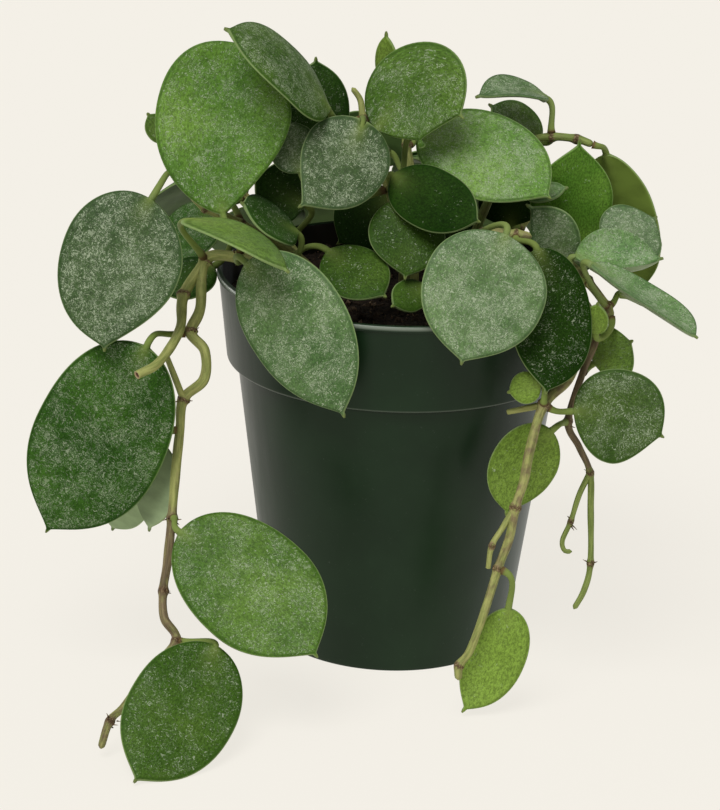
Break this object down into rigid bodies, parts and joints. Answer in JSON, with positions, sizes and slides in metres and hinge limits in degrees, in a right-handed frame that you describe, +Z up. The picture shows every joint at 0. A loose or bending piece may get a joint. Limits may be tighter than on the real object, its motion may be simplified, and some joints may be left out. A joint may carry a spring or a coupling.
{
  "type": "potted hoya plant",
  "caption": "Trailing hoya with round silver-flecked leaves, growing over the rim of a tapered round nursery pot.",
  "frame": {"origin": "centre of the pot's flat base, on the surface it stands on", "axes": "+Z up, -Y towards the front, where the longest vine trails; +X to the right seen from the front"},
  "size_m": [0.2668, 0.284, 0.2684],
  "materials": {
    "pot": "satin dark green moulded plastic",
    "soil": "coarse dark potting mix with bark",
    "stem": "olive green stem, matt",
    "woody_stem": "brownish stem, matt",
    "leaf_deep": "satin waxy dark green leaf with pale flecks",
    "leaf_mid": "satin waxy green leaf with pale flecks",
    "leaf_silver": "satin waxy leaf, heavily silvered",
    "leaf_young": "satin young yellow-green leaf",
    "leaf_underside": "matt pale leaf underside"
  },
  "bodies": {
    "root": {"pot": "pot", "soil": "soil", "left_vine": "stem", "left_crown": "stem", "centre_stem": "stem", "front_right_stem": "stem", "upper_right_stem": "woody_stem", "right_crown": "stem", "right_vine": "stem", "right_runner": "woody_stem", "leaf_tall_left": "leaf_mid", "leaf_peak_left": "leaf_mid", "leaf_behind_peak": "leaf_deep", "leaf_heart_centre": "leaf_silver", "leaf_round_top": "leaf_mid", "leaf_young_top": "leaf_young", "leaf_broad_right": "leaf_mid", "leaf_dark_centre": "leaf_deep", "leaf_low_centre": "leaf_mid", "leaf_soil_left": "leaf_mid", "leaf_front_left": "leaf_silver", "leaf_folded_left": "leaf_underside", "leaf_outer_left": "leaf_silver", "leaf_big_low_left": "leaf_deep", "leaf_pale_low_left": "leaf_silver", "leaf_olive_low_left": "leaf_silver", "leaf_hanging_left": "leaf_mid", "leaf_floor_left": "leaf_mid", "leaf_front_right": "leaf_silver", "leaf_dark_right": "leaf_deep", "leaf_silver_right": "leaf_silver", "leaf_upright_right": "leaf_mid", "leaf_olive_right": "leaf_underside", "leaf_silver_outer": "leaf_silver", "leaf_curled_right": "leaf_silver", "leaf_narrow_right": "leaf_silver", "leaf_brown_right": "leaf_underside", "leaf_yellow_right": "leaf_young", "leaf_round_low_right": "leaf_mid", "leaf_rim_right": "leaf_underside", "leaf_small_low_right": "leaf_young", "leaf_yellow_vine": "leaf_young", "leaf_floor_right": "leaf_young", "leaf_arched_top": "leaf_silver", "leaf_behind_broad": "leaf_mid", "leaf_tip_right": "leaf_silver", "leaf_tip_left": "leaf_underside", "leaf_silver_left": "leaf_silver", "leaf_inner_left": "leaf_deep", "leaf_rolled_left": "leaf_deep", "leaf_soil_right": "leaf_mid", "leaf_shade_left": "leaf_deep", "rear_spray_left": "leaf_deep", "rear_spray_back_left": "leaf_deep", "rear_spray_back": "leaf_deep", "rear_spray_right": "leaf_deep", "rear_spray_top": "leaf_deep", "rear_vine": "leaf_deep"}
  },
  "joints": []
}
